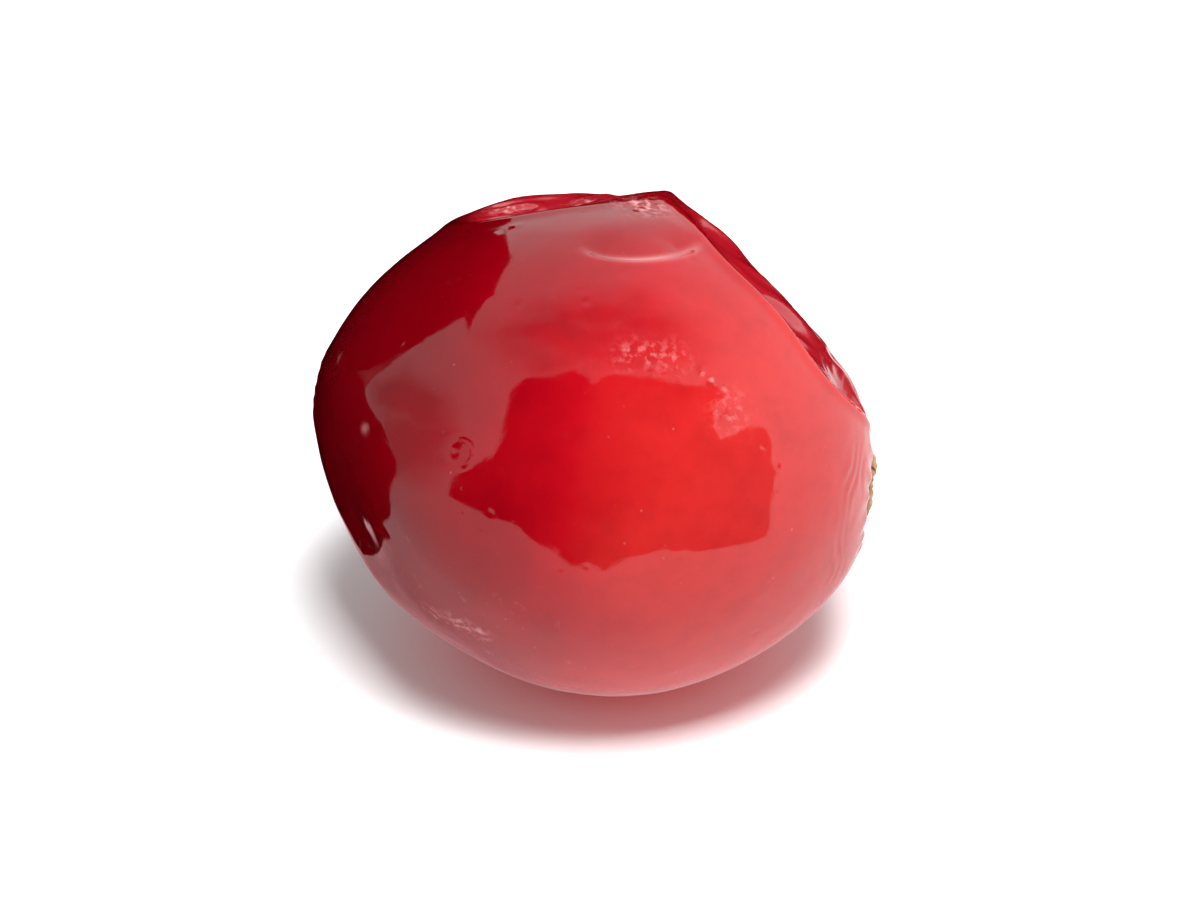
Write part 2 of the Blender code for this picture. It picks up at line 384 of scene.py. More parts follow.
def dented(reach, ways, facing, least, radius):
    """The reach with one dent pressed in, and the skin raised along its sharp edge."""
    far = far_share(ways, facing)
    ball = ball_side(ways, facing, least, radius)
    ball = ball + (WAVER_HEIGHT + (WAVER_FAR_HEIGHT - WAVER_HEIGHT) * far) * waver(ways)
    corner = np.exp(-((apart(ways, CORNER_WAY) / CORNER_SPREAD) ** 2))
    near_blend = SHARP_BLEND + (CORNER_BLEND - SHARP_BLEND) * corner
    height = (1.0 - far) * (1.0 - corner) * FOLD_HEIGHT
    fold = height * np.exp(-(((ball - reach) / FOLD_WIDTH) ** 2))
    return smooth_min(reach, ball, near_blend + (SOFT_BLEND - near_blend) * far) + fold


def crease(ways, reach):
    inside = reach * (CREASE_RING_RADIANS - apart(ways, CREASE_RING_FACING))
    wall = smooth_step(-CREASE_WALL, CREASE_WALL, inside)
    sunk = np.exp(-((np.clip(inside, 0.0, None) / CREASE_SINK) ** 2))
    shown = smooth_step(CREASE_END_RADIANS, CREASE_FULL_RADIANS, apart(ways, CREASE_MIDDLE))
    return -CREASE_DEPTH * wall * sunk * shown


# A painted highlight: a pale line along the crease.
def crease_highlight(ways, reach):
    outside = reach * (apart(ways, CREASE_RING_FACING) - CREASE_RING_RADIANS)
    line = np.exp(-(((outside - CREASE_HIGHLIGHT_OUTSIDE) / CREASE_HIGHLIGHT_WIDTH) ** 2))
    return CREASE_HIGHLIGHT_SHARE * line * smooth_step(CREASE_HIGHLIGHT_END_RADIANS, 0.0, apart(ways, CREASE_HIGHLIGHT_MIDDLE))


def distance_off(line, ways, reach):
    """How far the skin is from a line out of the centre, or out of reach on the far side from it."""
    along = ways @ unit(line)
    off = reach * np.sqrt(np.clip(1.0 - along**2, 0.0, 1.0))
    return np.where(along > 0.0, off, OUT_OF_REACH)


def dish(ways, reach):
    off = distance_off(CORE_LINE, ways, reach)
    return -DISH_DEPTH * (1.0 - smooth_step(DISH_FLOOR_RADIUS, DISH_RADIUS, off))


def pit(ways, reach):
    off = distance_off(STEM_END, ways, reach)
    hole = -PIT_DEPTH * np.exp(-((off / PIT_RADIUS) ** PIT_WALL_POWER))
    return hole + PIT_LIP_HEIGHT * np.exp(-(((off - PIT_LIP_RADIUS) / PIT_LIP_WIDTH) ** 2))


def broad_form(ways):
    """How far out the skin lies each way, without its fine relief, and how deeply it is dented there."""
    round_form = swelled(egg(ways), ways, SWELLS)
    reach = round_form
    for dent in DENTS:
        reach = dented(reach, ways, *dent)
    dent_depth = np.clip(round_form - reach, 0.0, None)
    reach = swelled(reach, ways, BULGES)
    return reach + crease(ways, reach) + dish(ways, reach) + pit(ways, reach), dent_depth


def angle_round(line, ways):
    """The angle of each way round a line out of the centre."""
    side = Vector(line).cross(Vector((0.0, 0.0, 1.0))).normalized()
    up = side.cross(Vector(line)).normalized()
    return np.arctan2(ways @ np.array(up), ways @ np.array(side))


def wrinkles(points, ways, reach, dent_depth):
    """Long low folds of the slack skin in the dents, which mostly run one way and die out by the calyx."""
    bends = [noise(points, WRINKLE_BEND_SIZE, seed) for seed in WRINKLE_BEND_SEEDS]
    way = unit(WRINKLE_WAY)
    bent = points + WRINKLE_BEND * np.stack(bends, axis=1)
    squeezed = bent - (1.0 - 1.0 / WRINKLE_STRETCH) * np.outer(points @ way, way)
    ridge = np.exp(-((noise(squeezed, WRINKLE_SIZE, WRINKLE_SEED) / WRINKLE_SHARPNESS) ** 2))
    shown = np.clip(dent_depth / WRINKLE_DEPTH_SHOWN, 0.0, 1.0)
    shown = shown * smooth_step(WRINKLE_START, WRINKLE_FULL, distance_off(CORE_LINE, ways, reach))
    return WRINKLE_HEIGHT * shown * ridge


def ripples(points, ways, reach):
    """Fine rings round the blossom end, swaying and dying out."""
    off = distance_off(CORE_LINE, ways, reach)
    shown = smooth_step(RIPPLE_START, RIPPLE_FULL, off) * smooth_step(RIPPLE_END, RIPPLE_FADE, off)
    here = RIPPLE_LEAST_SHOWN + noise(points, RIPPLE_SWAY_SIZE, RIPPLE_SHOWN_SEED)
    shown = shown * np.clip(here, 0.0, 1.0)
    sway = RIPPLE_SWAY * noise(points, RIPPLE_SWAY_SIZE, RIPPLE_SWAY_SEED)
    return RIPPLE_HEIGHT * shown * np.sin(2.0 * np.pi * (off + sway) / RIPPLE_LENGTH)


def puckers(points, ways, reach, line, middle, width):
    """Small radial folds round one end of the berry."""
    off = distance_off(line, ways, reach)
    shown = np.exp(-(((off - middle) / width) ** 2))
    bend = PUCKER_BEND * noise(points, PUCKER_BEND_SIZE, PUCKER_SEED)
    turn = PUCKER_COUNT * angle_round(line, ways) + bend
    return PUCKER_HEIGHT * shown * np.sin(turn)


def spots(ways, reach, facings, radii, heights):
    """Small round rises, or hollows where the height is below zero."""
    rise = np.zeros(len(ways))
    for facing, radius, height in zip(facings, radii, heights):
        distance = reach * np.sqrt(np.clip(2.0 - 2.0 * (ways @ facing), 0.0, None))
        near = distance < SPOT_END * radius
        rise[near] += height * np.exp(-((distance[near] / radius) ** 2))
    return rise


def listed_spots(ways, reach, listed):
    facings, radii, heights = zip(*listed)
    return spots(ways, reach, [unit(facing) for facing in facings], radii, heights)


def scattered_specks(ways, reach):
    random = np.random.default_rng(SPECK_SEED)
    facings = random.normal(size=(SPECK_COUNT, 3))
    facings /= np.linalg.norm(facings, axis=1)[:, None]
    radii = random.uniform(*SPECK_RADIUS, SPECK_COUNT)
    heights = random.uniform(*SPECK_HEIGHT, SPECK_COUNT) * random.choice((-1.0, 1.0), SPECK_COUNT)
    return spots(ways, reach, facings, radii, heights)


def skin_reach(ways):
    """The skin's distance from the centre each way, with all its relief, and the depth of the dents."""
    reach, dent_depth = broad_form(ways)
    points = ways * reach[:, None]
    rise = SAG_HEIGHT * noise(points, SAG_SIZE, SAG_SEED)
    rise += LUMP_HEIGHT * noise(points, LUMP_SIZE, LUMP_SEED)
    rise += wrinkles(points, ways, reach, dent_depth)
    rise += ripples(points, ways, reach)
    rise += puckers(points, ways, reach, CORE_LINE, DISH_PUCKER_MIDDLE, DISH_PUCKER_WIDTH)
    rise += puckers(points, ways, reach, STEM_END, PIT_PUCKER_MIDDLE, PIT_PUCKER_WIDTH)
    rise += scattered_specks(ways, reach)
    rise += listed_spots(ways, reach, MARKS)
    crumple = noise(points, CRUMPLE_SIZE, CRUMPLE_SEED)
    rise += CRUMPLE_HEIGHT * listed_spots(ways, reach, CRUMPLES) * crumple
    return reach + rise, dent_depth


def settled(points):
    """The points, with any below the ground drawn back to it along its own line. This makes the flat spot."""
    lowest = np.minimum(points[:, 2], -CENTRE.z)
    return points * (-CENTRE.z / lowest)[:, None]


def round_cube(divisions):
    """A cube's faces cut into even squares and blown out to a ball of radius 1."""
    mesh = bmesh.new()
    bmesh.ops.create_cube(mesh, size=2.0)
    bmesh.ops.subdivide_edges(mesh, edges=mesh.edges, cuts=divisions - 1, use_grid_fill=True)
    bmesh.ops.recalc_face_normals(mesh, faces=mesh.faces)
    data = bpy.data.meshes.new("round_cube")
    mesh.to_mesh(data)
    mesh.free()
    ways = np.tan(coordinates(data) * np.pi / 4.0)
    ways /= np.linalg.norm(ways, axis=1)[:, None]
    return data, ways


def coordinates(data):
    flat = np.empty(len(data.vertices) * 3, np.float32)
    data.vertices.foreach_get("co", flat)
    return flat.reshape(-1, 3).astype(float)


def store(data, name, values):
    """One number for each point of the mesh, for its material to read."""
    attribute = data.attributes.new(name, "FLOAT", "POINT")
    attribute.data.foreach_set("value", values.astype(np.float32))


def added(name, data):
    """A new object in the scene."""
    made = bpy.data.objects.new(name, data)
    bpy.context.scene.collection.objects.link(made)
    return made


def placed(data, name, material, node):
    """Adds the mesh as a piece that stands for a CAD node and rides on the part's one body."""
    made = added(name, data)
    data.shade_smooth()
    data.materials.append(material)
    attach(made, "root")
    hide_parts(node)


def skin(material):
    data, ways = round_cube(SKIN_DIVISIONS)
    ways = ways + FINEST_SHARE * np.array(FINEST_WAY)
    ways /= np.linalg.norm(ways, axis=1)[:, None]
    reach, dent_depth = skin_reach(ways)
    points = settled(ways * reach[:, None]) + np.array(CENTRE)
    data.vertices.foreach_set("co", points.astype(np.float32).ravel())
    store(data, "dent", np.clip(dent_depth / WRINKLE_DEPTH_SHOWN, 0.0, 1.0))
    store(data, "crumple", np.clip(listed_spots(ways, reach, CRUMPLES), 0.0, 1.0))
    # Where the painted glint specks and the crease's painted highlight lie.
    store(data, "pale", np.clip(listed_spots(ways, reach, GLINT_SPECKS) + crease_highlight(ways, reach), 0.0, 1.0))
    for name, line in (("from_calyx", CORE_LINE), ("from_stem", STEM_END)):
        store(data, name, np.minimum(distance_off(line, ways, reach) / MM, MOST_STORED))
    data.update()
    placed(data, "skin", material, "berry")


def calyx_height(off, angle):
    """The height of the calyx's upper side, at a distance from the core line and an angle round it."""
    lobe = 0.5 + 0.5 * np.cos(CALYX_LOBES * angle)
    crest = CALYX_RIM_HEIGHT + CALYX_LOBE_HEIGHT * lobe
    inner = smooth_step(CALYX_DISC_RADIUS, CALYX_CREST_RADIUS - CALYX_LOBE_REACH * lobe, off)
    outer = smooth_step(CALYX_RADIUS, CALYX_CREST_RADIUS, off)
    style = STYLE_HEIGHT * np.exp(-((off / STYLE_RADIUS) ** STYLE_WALL_POWER))
    up = CALYX_DISC_HEIGHT + (crest - CALYX_DISC_HEIGHT) * inner + style
    return CALYX_EDGE_HEIGHT + (up - CALYX_EDGE_HEIGHT) * outer


def crown_height(off, angle):
    """The calyx's upper side with its dry crinkles."""
    points = np.stack([off * np.cos(angle), off * np.sin(angle), 0.0 * off], axis=1)
    turn = CROWN_CRINKLES * angle + CROWN_BEND * noise(points, CALYX_DISC_RADIUS, CROWN_TURN_SEED)
    shown = smooth_step(CROWN_SMOOTH_SHARE * CALYX_DISC_RADIUS, CALYX_CREST_RADIUS, off)
    crinkle = CROWN_CRINKLE_HEIGHT * shown * np.sin(turn)
    grain = CROWN_GRAIN_HEIGHT * noise(points, CROWN_GRAIN_SIZE, CROWN_GRAIN_SEED)
    edge = smooth_step(CALYX_RADIUS, CROWN_EDGE_SHARE * CALYX_RADIUS, off)
    return calyx_height(off, angle) + edge * (crinkle + grain)


def calyx_base(off, _angle):
    """The height of the calyx's underside, which follows the dish with a small gap."""
    end_radius = HALF_WIDTH**2 / HALF_LENGTH
    return CALYX_GAP - DISH_DEPTH - off**2 / (2.0 * end_radius)


def ring_points(radius, height_at):
    angle = 2.0 * np.pi * np.arange(CROWN_SEGMENTS) / CROWN_SEGMENTS
    off = np.full(CROWN_SEGMENTS, radius)
    return np.stack([off * np.cos(angle), off * np.sin(angle), height_at(off, angle)], axis=1)


def crown_mesh(mesh):
    """The calyx's ring and disc, closed below."""
    top_radii = CALYX_RADIUS * np.arange(1, CROWN_TOP_RINGS + 1) / CROWN_TOP_RINGS
    base_radii = CALYX_RADIUS * np.arange(CROWN_BASE_RINGS, 0, -1) / CROWN_BASE_RINGS
    rings = [ring_points(radius, crown_height) for radius in top_radii]
    rings += [ring_points(radius, calyx_base) for radius in base_radii]
    rings = [[mesh.verts.new(point) for point in points] for points in rings]
    for inner, outer in zip(rings, rings[1:]):
        for i in range(CROWN_SEGMENTS):
            after = (i + 1) % CROWN_SEGMENTS
            mesh.faces.new((inner[i], inner[after], outer[after], outer[i]))
    for end in (rings[0], rings[-1]):
        middle = mesh.verts.new(sum((v.co for v in end), Vector()) / len(end))
        for point, after in zip(end, end[1:] + end[:1]):
            mesh.faces.new((point, after, middle))


def sepal_point(along, across, lean, stretch, start):
    """A place on a sepal's upper side, before it is turned to its own angle. Across runs from -1 to 1."""
    radius = SEPAL_ROOT_RADIUS + (SEPAL_TIP_RADIUS * stretch - SEPAL_ROOT_RADIUS) * along
    taper = math.sqrt(max(1.0 - along**SEPAL_TAPER_POWER, 0.0))
    half = SEPAL_HALF_WIDTH * taper + SEPAL_TIP_HALF_WIDTH
    arch = SEPAL_ARCH_HEIGHT * math.sin(math.pi * along**SEPAL_ARCH_POWER)
    slope = (SEPAL_TIP_HEIGHT - SEPAL_ROOT_HEIGHT) * along
    height = SEPAL_ROOT_HEIGHT + slope + arch * SEPAL_ARCH_SHARE
    curl = SEPAL_CURL * across**2 * (SEPAL_CURL_AT_ROOT + (1.0 - SEPAL_CURL_AT_ROOT) * along)
    a, b, c, d = SEPAL_CRINKLE_WAVES
    crinkle = SEPAL_CRINKLE * math.sin(a * across + b * along + start) * math.sin(c * along + d * start)
    return Vector((radius, half * across + lean * along, height - curl + crinkle))


def loop_round(grid):
    """The points on the rim of a grid, in turn."""
    return grid[0][:] + [row[-1] for row in grid[1:]] + grid[-1][-2::-1] + [row[0] for row in grid[-2:0:-1]]


def sepal_mesh(mesh, turn, lean, stretch, start):
    """One sepal as a closed thin blade."""
    sides = []
    for drop in (0.0, SEPAL_THICKNESS):
        grid = []
        for i in range(SEPAL_STEPS_ALONG + 1):
            row = []
            for j in range(SEPAL_STEPS_ACROSS + 1):
                across = 2.0 * j / SEPAL_STEPS_ACROSS - 1.0
                thin = drop * (1.0 - SEPAL_EDGE_THINNING * across**SEPAL_EDGE_POWER)
                point = sepal_point(i / SEPAL_STEPS_ALONG, across, lean, stretch, start)
                spun = Vector((
                    point.x * math.cos(turn) - point.y * math.sin(turn),
                    point.x * math.sin(turn) + point.y * math.cos(turn),
                    point.z - thin,
                ))
                row.append(mesh.verts.new(spun))
            grid.append(row)
        sides.append(grid)
    top, under = sides
    for i in range(SEPAL_STEPS_ALONG):
        for j in range(SEPAL_STEPS_ACROSS):
            mesh.faces.new((top[i][j], top[i][j + 1], top[i + 1][j + 1], top[i + 1][j]))
            mesh.faces.new((under[i][j], under[i + 1][j], under[i + 1][j + 1], under[i][j + 1]))
    rim_top = loop_round(top)
    rim_under = loop_round(under)
    for i, point in enumerate(rim_top):
        after = (i + 1) % len(rim_top)
        mesh.faces.new((point, rim_under[i], rim_under[after], rim_top[after]))


def calyx(material):
    mesh = bmesh.new()
    crown_mesh(mesh)
    random = np.random.default_rng(SEPAL_SEED)
    for k in range(CALYX_LOBES):
        turn = 2.0 * math.pi * k / CALYX_LOBES + random.uniform(*SEPAL_TURN)
        lean = random.uniform(*SEPAL_LEAN) * MM
        sepal_mesh(mesh, turn, lean, random.uniform(*SEPAL_STRETCH), random.uniform(*SEPAL_CRINKLE_START))
    bmesh.ops.recalc_face_normals(mesh, faces=mesh.faces)
    data = bpy.data.meshes.new("calyx_crown")
    mesh.to_mesh(data)
    mesh.free()
    local = coordinates(data)
    store(data, "height", (local[:, 2] - CALYX_DISC_HEIGHT) / MM)
    place = CORE_LINE.to_track_quat("Z", "Y").to_matrix().to_4x4()
    place.translation = CENTRE + CORE_LINE * HALF_LENGTH
    data.transform(place)
    placed(data, "calyx_crown", material, "calyx")


class Nodes:
    """A short way to build the nodes of one material or world."""

    def __init__(self, owner):
        self.owner = owner
        owner.use_nodes = True
        self.tree = owner.node_tree

    def add(self, kind, inputs=None, **settings):
        """A new node with its settings, and its inputs by name or number."""
        node = self.tree.nodes.new(kind)
        for name, value in settings.items():
            setattr(node, name, value)
        self.feed(node, inputs or {})
        return node

    def feed(self, node, inputs):
        """Links each input to a socket, or sets its value."""
        for name, value in inputs.items():
            if isinstance(value, bpy.types.NodeSocket):
                self.tree.links.new(value, node.inputs[name])
            else:
                node.inputs[name].default_value = value

    def close(self, name, inputs):
        """Feeds a node that the tree began with, and gives the material or world back."""
        self.feed(self.tree.nodes[name], inputs)
        return self.owner

    def place(self):
        """Where a point lies from the berry's centre, in metres."""
        inputs = {0: self.add("ShaderNodeTexCoord").outputs["Object"], 1: CENTRE}
        return self.add("ShaderNodeVectorMath", inputs, operation="SUBTRACT").outputs["Vector"]

    def attribute(self, name, output="Fac"):
        return self.add("ShaderNodeAttribute", attribute_name=name).outputs[output]

    def noise(self, place, size, detail, roughness=0.5, distortion=0.0):
        node = self.add("ShaderNodeTexNoise", {"Vector": place, "Scale": 1.0 / size, "Detail": detail})
        self.feed(node, {"Roughness": roughness, "Distortion": distortion})
        return node.outputs["Fac"]

    def cells(self, place, size):
        return self.add("ShaderNodeTexVoronoi", {"Vector": place, "Scale": 1.0 / size}).outputs["Distance"]

    def span(self, value, low, high, to_low=0.0, to_high=1.0, smooth=False):
        kind = "SMOOTHSTEP" if smooth else "LINEAR"
        inputs = {"Value": value, "From Min": low, "From Max": high, "To Min": to_low, "To Max": to_high}
        return self.add("ShaderNodeMapRange", inputs, interpolation_type=kind).outputs["Result"]

    def patches(self, place, noise, span):
        return self.span(self.noise(place, *noise), *span)

    def dot(self, place, way):
        inputs = {0: place, 1: Vector(way).normalized()}
        return self.add("ShaderNodeVectorMath", inputs, operation="DOT_PRODUCT").outputs["Value"]

    def along(self, place, way):
        """From 0 at one side of the berry to 1 at the other, along a way."""
        return self.span(self.dot(place, way), -HALF_LENGTH, HALF_LENGTH)

    def math(self, operation, first, second):
        return self.add("ShaderNodeMath", {0: first, 1: second}, operation=operation).outputs["Value"]

    def mix(self, share, first, second):
        inputs = {"Factor": share, "A": first, "B": second}
        return self.add("ShaderNodeMix", inputs, data_type="RGBA").outputs["Result"]

    def ramp(self, value, *stops):
        node = self.add("ShaderNodeValToRGB", {"Fac": value})
        elements = node.color_ramp.elements
        while len(elements) < len(stops):
            elements.new(0.5)
        for element, (position, colour) in zip(elements, stops):
            element.position = position
            element.color = (*colour, 1.0)
        return node.outputs["Color"]

    def bump(self, height, distance, strength=1.0, normal=None):
        node = self.add("ShaderNodeBump", {"Height": height, "Distance": distance, "Strength": strength})
        if normal is not None:
            self.feed(node, {"Normal": normal})
        return node.outputs["Normal"]

    def emission(self, colour, strength):
        return self.add("ShaderNodeEmission", {"Color": colour, "Strength": strength}).outputs["Emission"]

    def clear(self):
        return self.add("ShaderNodeBsdfTransparent").outputs["BSDF"]


# The skin's colours, from the stem end's back to the blossom end's front, and where each lies between them.
# They are partly the berry's own colour, darker at the stem end, and partly painted light: the glow through
# the flesh, which makes the right and the front lighter.
RIPENESS_AND_GLOW_WAY = (0.850, -0.526, 0.030)
RIPENESS_AND_GLOW_COLOURS = (
    (0.12, (0.095, 0.0, 0.0020)),
    (0.32, (0.125, 0.0, 0.0022)),
    (0.52, (0.208, 0.0001, 0.0034)),
    (0.66, (0.335, 0.0022, 0.0066)),
    (0.82, (0.432, 0.0140, 0.0135)),
    (0.97, (0.425, 0.0195, 0.0190)),
)
CRIMSON = (0.11, 0.0003, 0.003, 1.0)
# Partly the colour of bruised skin, partly painted shade in the dents.
BRUISE_AND_SHADE = (0.30, 0.0040, 0.011, 1.0)
BLOOM = (0.55, 0.26, 0.25, 1.0)
PALE_PINK = (0.78, 0.36, 0.36, 1.0)
SCAR_BROWN = (0.13, 0.055, 0.022, 1.0)

# Patches of the skin and the calyx: a noise's size, detail, roughness and distortion, and then two values of
# it and the two results that these are spread to, or 0 and 1 where none are given.
DRIFT = ((4.0 * MM, 3.0), (0.3, 0.7, -0.05, 0.05))
MOTTLE = ((0.8 * MM, 4.0, 0.6), (0.45, 0.72, 0.0, 0.16))
PORES_SHOWN = ((2.6 * MM, 1.0), (0.54, 0.66, 0.0, 0.22))
SCUFF = ((0.55 * MM, 6.0, 0.7, 0.6), (0.60, 0.74))
CRUMPLE_PALE_AND_GLINT = ((0.26 * MM, 4.0, 0.6), (0.48, 0.66, 0.0, 0.75))
HAZE = ((1.3 * MM, 5.0, 0.65), (0.45, 0.75, 0.045, 0.12))
GRAIN = ((0.16 * MM, 5.0, 0.65), (0.3, 0.7, -0.10, 0.10))
FLECKS = ((0.07 * MM, 4.0, 0.7), (0.55, 0.72, 0.0, 0.55))
PAPER_ROUGHNESS = ((0.22 * MM, 3.0), (0.3, 0.7, 0.55, 0.90))

# Two values of other kinds, and the results in the same way.
PORE_SPAN = (0.04, 0.09, 1.0, 0.0)
SCUFFED_SPAN = (0.72, 0.98, 0.02, 0.50)
NEAR_CALYX_SPAN = (1.25, 1.9, 0.75, 0.0)
NEAR_STEM_SPAN = (0.35, 1.0, 0.85, 0.0)
GLOSS_IN_DENTS_SPAN = (0.0, 1.0, 0.5, 0.18)
CALYX_LEVEL_SPAN = (-0.05, 0.55)

# Bumps: a noise's size, detail and roughness, and then a height.
SKIN_BUMP = ((0.16 * MM, 3.0, 0.6), 0.0016 * MM)
PAPER_COARSE_BUMP = ((0.12 * MM, 4.0, 0.7), 0.02 * MM)
PAPER_FINE_BUMP = ((0.035 * MM, 3.0, 0.6), 0.006 * MM)
PAPER_FINE_STRENGTH = 0.8

SCUFFED_WAY = (-0.45, -0.40, -0.80)
BRUISE_AND_SHADE_SHARE = 0.85
PORE_SIZE = 0.62 * MM
PORE_HEIGHT = 0.006 * MM
PORE_STRENGTH = 0.5
SCUFF_ROUGHNESS = 0.5
SLACK_ROUGHNESS = 0.10
SKIN_SETTINGS = {
    "IOR": 1.45,
    "Subsurface Weight": 0.45,
    "Subsurface Radius": (1.0, 0.10, 0.08),
    "Subsurface Scale": 1.6 * MM,
    "Coat Weight": 0.15,
    "Coat Roughness": 0.03,
    "Coat IOR": 1.40,
}


def skin_material():
    nodes = Nodes(bpy.data.materials.new("cranberry_skin"))
    place = nodes.place()
    # Partly the berry's own colour, partly painted glow of light through the flesh, lighter to the right and
    # front.
    ripeness_and_glow = nodes.math("ADD", nodes.along(place, RIPENESS_AND_GLOW_WAY), nodes.patches(place, *DRIFT))
    colour = nodes.ramp(ripeness_and_glow, *RIPENESS_AND_GLOW_COLOURS)
    colour = nodes.mix(nodes.patches(place, *MOTTLE), colour, CRIMSON)
    dent = nodes.attribute("dent")
    # The dents are darker: partly bruised skin, partly painted shade in the hollows.
    colour = nodes.mix(nodes.math("MULTIPLY", dent, BRUISE_AND_SHADE_SHARE), colour, BRUISE_AND_SHADE)
    pores = nodes.span(nodes.cells(place, PORE_SIZE), *PORE_SPAN)
    colour = nodes.mix(nodes.math("MULTIPLY", pores, nodes.patches(place, *PORES_SHOWN)), colour, BLOOM)
    scuffed = nodes.span(nodes.along(place, SCUFFED_WAY), *SCUFFED_SPAN)
    scuffed = nodes.math("MULTIPLY", nodes.patches(place, *SCUFF), scuffed)
    colour = nodes.mix(scuffed, colour, BLOOM)
    crumple = nodes.attribute("crumple")
    # Pale pink for the painted highlights, the glint specks and the crease's line, and for the crumples,
    # whose paleness is partly their own skin's and partly painted highlight specks.
    crumple_pale_and_glint = nodes.math("MULTIPLY", crumple, nodes.patches(place, *CRUMPLE_PALE_AND_GLINT))
    colour = nodes.mix(nodes.math("MAXIMUM", nodes.attribute("pale"), crumple_pale_and_glint), colour, PALE_PINK)
    near_calyx = nodes.span(nodes.attribute("from_calyx"), *NEAR_CALYX_SPAN, smooth=True)
    near_stem = nodes.span(nodes.attribute("from_stem"), *NEAR_STEM_SPAN, smooth=True)
    colour = nodes.mix(nodes.math("MAXIMUM", near_calyx, near_stem), colour, SCAR_BROWN)
    rough = nodes.patches(place, *HAZE)
    for worn, share in ((scuffed, SCUFF_ROUGHNESS), (dent, SLACK_ROUGHNESS), (crumple, SLACK_ROUGHNESS)):
        rough = nodes.math("ADD", rough, nodes.math("MULTIPLY", worn, share))
    noise, height = SKIN_BUMP
    fine = nodes.bump(nodes.noise(place, *noise), height)
    return nodes.close("Principled BSDF", {
        "Base Color": colour,
        "Roughness": rough,
        "Normal": nodes.bump(pores, PORE_HEIGHT, PORE_STRENGTH, fine),
        "Specular IOR Level": nodes.span(dent, *GLOSS_IN_DENTS_SPAN),
        **SKIN_SETTINGS,
    })


TAN = (0.60, 0.45, 0.31)
ORANGE_BROWN = (0.36, 0.19, 0.085)
DARK_BROWN = (0.085, 0.036, 0.014)
CALYX_COLOURS = ((0.0, DARK_BROWN), (0.35, ORANGE_BROWN), (0.75, TAN), (1.0, ORANGE_BROWN))
CALYX_SETTINGS = {
    "Subsurface Weight": 0.15,
    "Subsurface Radius": (0.6, 0.3, 0.15),
    "Subsurface Scale": 0.3 * MM,
}


def calyx_material():
    nodes = Nodes(bpy.data.materials.new("dry_calyx_paper"))
    place = nodes.place()
    level = nodes.math("ADD", nodes.attribute("height"), nodes.patches(place, *GRAIN))
    colour = nodes.ramp(nodes.span(level, *CALYX_LEVEL_SPAN), *CALYX_COLOURS)
    colour = nodes.mix(nodes.patches(place, *FLECKS), colour, (*DARK_BROWN, 1.0))
    noise, height = PAPER_COARSE_BUMP
    coarse = nodes.bump(nodes.noise(place, *noise), height)
    noise, height = PAPER_FINE_BUMP
    fine = nodes.bump(nodes.noise(place, *noise), height, PAPER_FINE_STRENGTH, coarse)
    rough = nodes.patches(place, *PAPER_ROUGHNESS)
    return nodes.close("Principled BSDF", {
        "Base Color": colour, "Roughness": rough, "Normal": fine, **CALYX_SETTINGS,
    })


def view_axes():
    """Across and up in the picture, and the way back to the camera."""
    tilt = math.radians(VIEW_HEIGHT_DEGREES)
    across = np.array((1.0, 0.0, 0.0))
    up = np.array((0.0, math.sin(tilt), math.cos(tilt)))
    back = np.array((0.0, -math.cos(tilt), math.sin(tilt)))
    return across, up, back


# A soft box above, a little to the front, in a white room that is darker in front. The room is brighter in
# the gloss than as light, and brightest there at the right. Its spans are two cosines and the light at each.
KEY_PLACE = Vector((40, -105, 380)) * MM
KEY_SIZE = 155 * MM
KEY_POWER = 2.75
FRONT_WAY = (-0.10, -0.90, 0.40)
ROOM_LIGHT_SPAN = (0.50, 0.90, 0.60, 0.37)
RIGHT_WAY = (1.0, 0.0, 0.0)
ROOM_IN_GLOSS_SPAN = (0.30, 0.90, 1.15, 1.45)

FLOOR_HALF_SIZE = 450 * MM
FLOOR_COLOUR = (0.86, 0.86, 0.865, 1.0)
FLOOR_ROUGHNESS = 0.6


def floor():
    mesh = bmesh.new()
    bmesh.ops.create_grid(mesh, x_segments=2, y_segments=2, size=FLOOR_HALF_SIZE)
    data = bpy.data.meshes.new("floor")
    mesh.to_mesh(data)
    mesh.free()
    nodes = Nodes(bpy.data.materials.new("pale_floor"))
    look = {"Base Color": FLOOR_COLOUR, "Roughness": FLOOR_ROUGHNESS}
    data.materials.append(nodes.close("Principled BSDF", look))
    made = added("floor", data)


